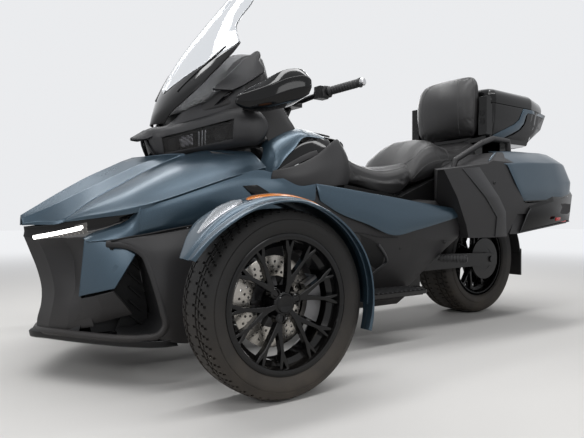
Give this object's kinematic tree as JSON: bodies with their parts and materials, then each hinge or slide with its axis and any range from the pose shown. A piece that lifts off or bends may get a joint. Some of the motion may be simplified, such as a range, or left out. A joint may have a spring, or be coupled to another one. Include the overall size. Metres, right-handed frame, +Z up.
{
  "type": "three-wheeled touring motorcycle",
  "caption": "Touring trike with a pair of steered front wheels, a driven rear wheel, tall windscreen, two seats, side bags and a rear top case.",
  "frame": {"origin": "on the floor, half way along the vehicle, on its centre plane", "axes": "+X forward, +Y to the vehicle's left, +Z up"},
  "size_m": [2.83, 1.554, 1.486],
  "materials": {
    "body_paint": "satin metallic petrol blue",
    "charcoal_plastic": "fine grained",
    "gloss_black": "gloss",
    "frame_paint": "semi-gloss black",
    "engine_metal": "cast",
    "spring_steel": "gloss black",
    "steel": "turned",
    "cast_alloy": "cast",
    "rim_paint": "gloss black",
    "tyre": "moulded",
    "brake_steel": "ground",
    "muffler_metal": "satin black",
    "grille_mesh": "mesh",
    "lamp_lens": "clear",
    "screen": "clear acrylic",
    "grip_rubber": "ribbed",
    "seat_vinyl": "grained vinyl",
    "red_lens": "clear red"
  },
  "bodies": {
    "root": {"backrest": "seat_vinyl", "bag_bodies": "charcoal_plastic", "belly_pan": "charcoal_plastic", "console": "charcoal_plastic", "driver_seat": "seat_vinyl", "drl_lamps": "gloss_black", "engine_block": "engine_metal", "footrests": "frame_paint", "front_body": "body_paint", "front_cheeks": "body_paint", "grab_rails": "frame_paint", "headlamp_mask": "charcoal_plastic", "headlamps": "lamp_lens", "intake_grilles": "grille_mesh", "main_frame": "frame_paint", "mirrors": "gloss_black", "muffler": "muffler_metal", "nose_bumper": "charcoal_plastic", "passenger_seat": "seat_vinyl", "rear_fender": "charcoal_plastic", "rear_lamps": "red_lens", "seat_base": "charcoal_plastic", "shock_absorbers": "spring_steel", "shoulder_arches": "body_paint", "side_covers": "charcoal_plastic", "side_panels": "body_paint", "splitter": "gloss_black", "suspension_arms": "frame_paint", "swingarm": "frame_paint", "top_case_body": "charcoal_plastic", "trunk_tub": "charcoal_plastic", "upper_fairing": "charcoal_plastic", "vent_panels": "gloss_black", "windscreen": "screen"},
    "handlebar": {"handlebar": "frame_paint", "grips": "grip_rubber"},
    "rack": {"tie_rods": "steel"},
    "rear_wheel": {"rear_rim": "rim_paint", "rear_tyre": "tyre"},
    "trunk_lid": {"trunk_lid": "body_paint"},
    "top_case_lid": {"top_case_lid": "gloss_black"},
    "knuckle_left": {"upright_left": "cast_alloy", "fender_left": "body_paint"},
    "front_wheel_left": {"front_rim_left": "rim_paint", "front_tyre_left": "tyre", "front_disc_left": "brake_steel"},
    "bag_lid_left": {"bag_lid_left": "body_paint"},
    "knuckle_right": {"upright_right": "cast_alloy", "fender_right": "body_paint"},
    "front_wheel_right": {"front_rim_right": "rim_paint", "front_tyre_right": "tyre", "front_disc_right": "brake_steel"},
    "bag_lid_right": {"bag_lid_right": "body_paint"}
  },
  "joints": [
    {"name": "steering", "type": "hinge", "parent": "root", "child": "handlebar", "pos_m": [0.318, 0, 1.035], "axis": [-0.4226, 0, 0.9063], "range_deg": [-32, 32]},
    {"name": "rack_slide", "type": "slide", "parent": "root", "child": "rack", "axis": [0, 1, 0], "range_m": [-0.0488, 0.0488]},
    {"name": "rear_wheel_spin", "type": "hinge", "parent": "root", "child": "rear_wheel", "pos_m": [-0.897, 0, 0.303], "axis": [0, 1, 0], "continuous": true},
    {"name": "trunk_lid_hinge", "type": "hinge", "parent": "root", "child": "trunk_lid", "pos_m": [1.412, 0, 0.516], "axis": [0, 1, 0], "range_deg": [0, 60]},
    {"name": "top_case_lid_hinge", "type": "hinge", "parent": "root", "child": "top_case_lid", "pos_m": [-0.778, 0, 1.2], "axis": [0, 1, 0], "range_deg": [0, 55]},
    {"name": "wheel_steer_left", "type": "hinge", "parent": "root", "child": "knuckle_left", "pos_m": [0.822, 0.575, 0.165], "axis": [-0.0434, 0, 0.9991], "range_deg": [-25.1, 25.1]},
    {"name": "front_wheel_spin_left", "type": "hinge", "parent": "knuckle_left", "child": "front_wheel_left", "pos_m": [0.817, 0.654, 0.281], "axis": [0, 1, 0], "continuous": true},
    {"name": "bag_lid_hinge_left", "type": "hinge", "parent": "root", "child": "bag_lid_left", "pos_m": [-0.95, 0.47, 0.606], "axis": [-1, 0, 0], "range_deg": [0, 60]},
    {"name": "wheel_steer_right", "type": "hinge", "parent": "root", "child": "knuckle_right", "pos_m": [0.822, -0.575, 0.165], "axis": [-0.0434, 0, 0.9991], "range_deg": [-25.1, 25.1]},
    {"name": "front_wheel_spin_right", "type": "hinge", "parent": "knuckle_right", "child": "front_wheel_right", "pos_m": [0.817, -0.654, 0.281], "axis": [0, 1, 0], "continuous": true},
    {"name": "bag_lid_hinge_right", "type": "hinge", "parent": "root", "child": "bag_lid_right", "pos_m": [-0.95, -0.47, 0.606], "axis": [1, 0, 0], "range_deg": [0, 60]}
  ],
  "couplings": [
    {"joint": "wheel_steer_left", "follows": "steering", "ratio": 0.78125},
    {"joint": "wheel_steer_right", "follows": "steering", "ratio": 0.78125},
    {"joint": "rack_slide", "follows": "steering", "m_per_rad": 0.08702}
  ]
}
